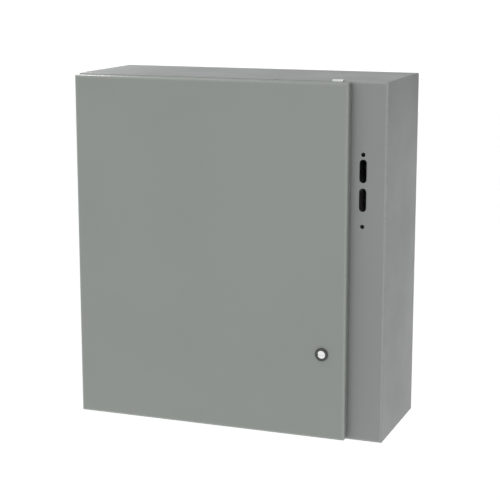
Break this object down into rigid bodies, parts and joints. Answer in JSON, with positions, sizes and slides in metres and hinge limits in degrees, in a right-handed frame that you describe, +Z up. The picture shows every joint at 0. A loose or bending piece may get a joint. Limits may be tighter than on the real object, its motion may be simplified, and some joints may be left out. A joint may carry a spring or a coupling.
{
  "type": "automatic transfer switch",
  "caption": "Wall-mounted sheet steel enclosure with a hinged latched door and a slotted flange, holding a pivoting transfer switch, its solenoid operator and a controller.",
  "frame": {"origin": "centre of the four wall-mounting holes, on the back face of the body", "axes": "+X to the right seen from the front, +Y backwards into the wall, +Z up; the front faces -Y"},
  "size_m": [0.5558, 0.224, 0.6109],
  "materials": {
    "grey_paint": "satin powder coat",
    "white_paint": "semi-gloss enamel",
    "zinc_steel": "zinc plated",
    "bare_steel": "ground",
    "bright_metal": "bright plated",
    "black_rubber": "soft",
    "black_plastic": "moulded",
    "base_moulding": "moulded thermoset",
    "pocket_plastic": "moulded",
    "copper": "bare copper",
    "silver": "silver contact alloy",
    "tinned_aluminium": "tin plated",
    "arc_fibre": "moulded fibre",
    "bronze": "sintered",
    "shaft_plastic": "moulded insulation",
    "red_grip": "moulded",
    "laminated_steel": "varnished laminations",
    "winding": "taped copper winding",
    "yellow_tape": "taped copper winding",
    "fascia_plastic": "moulded",
    "circuit_board": "solder mask",
    "green_lens": "translucent",
    "green_button": "moulded",
    "yellow_button": "moulded",
    "red_button": "moulded",
    "fuse_body": "glazed tube",
    "red_insulator": "moulded",
    "cable_jacket": "braided sleeve"
  },
  "bodies": {
    "enclosure": {"enclosure_body": "grey_paint", "front_frame": "grey_paint", "mounting_panel": "white_paint", "panel_studs": "zinc_steel", "panel_nuts": "zinc_steel", "panel_screws": "zinc_steel", "body_hinge_brackets": "zinc_steel", "top_catch_clip": "bright_metal", "body_ground_stud": "bronze", "switch_base": "base_moulding", "normal_contacts": "copper", "emergency_contacts": "copper", "load_jaws": "copper", "fixed_contact_pads": "silver", "terminal_lugs": "tinned_aluminium", "lug_screws": "bare_steel", "arc_chutes": "arc_fibre", "arc_plates": "bare_steel", "bearing_brackets": "zinc_steel", "shaft_bushes": "bronze", "solenoid_frame": "zinc_steel", "solenoid_coil": "winding", "aux_switch": "black_plastic", "controller_case": "black_plastic", "controller_board": "circuit_board", "controller_fascia": "fascia_plastic", "indicator_lenses": "green_lens", "transformer_cores": "laminated_steel", "transformer_coils": "yellow_tape", "fuse_block": "black_plastic", "fuse_links": "fuse_body", "terminal_strip": "black_plastic", "neutral_bar": "tinned_aluminium", "ground_bar": "copper", "bar_insulators": "red_insulator", "wiring_screws": "zinc_steel", "control_harness": "cable_jacket"},
    "door": {"door_panel": "grey_paint", "door_stiffeners": "grey_paint", "door_gasket": "black_rubber", "door_hinge_leaves": "zinc_steel", "hinge_pins": "bare_steel", "data_pocket": "pocket_plastic", "latch_housing": "black_plastic", "latch_seal": "black_rubber", "latch_nut": "zinc_steel"},
    "latch": {"latch_spindle": "bright_metal", "latch_cam": "zinc_steel", "cam_screw": "zinc_steel"},
    "transfer_shaft": {"main_shaft": "bare_steel", "shaft_insulation": "shaft_plastic", "moving_blades": "copper", "moving_contact_pads": "silver", "drive_crank": "bare_steel", "manual_lever": "bare_steel", "lever_grip": "red_grip"},
    "plunger": {"solenoid_plunger": "bare_steel"},
    "test_key": {"test_button": "green_button"},
    "bypass_key": {"bypass_button": "yellow_button"},
    "reset_key": {"reset_button": "red_button"}
  },
  "joints": [
    {"name": "door_hinge", "type": "hinge", "parent": "enclosure", "child": "door", "pos_m": [-0.2711, -0.2152, 0], "axis": [0, 0, -1], "range_deg": [0, 120]},
    {"name": "latch_turn", "type": "hinge", "parent": "door", "child": "latch", "pos_m": [0.1753, -0.2212, -0.1541], "axis": [0, 1, 0], "range_deg": [0, 90]},
    {"name": "transfer_shaft_turn", "type": "hinge", "parent": "enclosure", "child": "transfer_shaft", "pos_m": [-0.0556, -0.0636, -0.02], "axis": [1, 0, 0], "range_deg": [0, 48]},
    {"name": "plunger_slide", "type": "slide", "parent": "enclosure", "child": "plunger", "axis": [0, 0, -1], "range_m": [0, 0.01953]},
    {"name": "test_press", "type": "slide", "parent": "enclosure", "child": "test_key", "axis": [0, 1, 0], "range_m": [0, 0.0015], "stiffness_N_per_m": 500, "springref_m": -0.0005},
    {"name": "bypass_press", "type": "slide", "parent": "enclosure", "child": "bypass_key", "axis": [0, 1, 0], "range_m": [0, 0.0015], "stiffness_N_per_m": 500, "springref_m": -0.0005},
    {"name": "reset_press", "type": "slide", "parent": "enclosure", "child": "reset_key", "axis": [0, 1, 0], "range_m": [0, 0.0015], "stiffness_N_per_m": 500, "springref_m": -0.0005}
  ],
  "couplings": [
    {"joint": "plunger_slide", "follows": "transfer_shaft_turn", "m_per_rad": 0.023304}
  ]
}
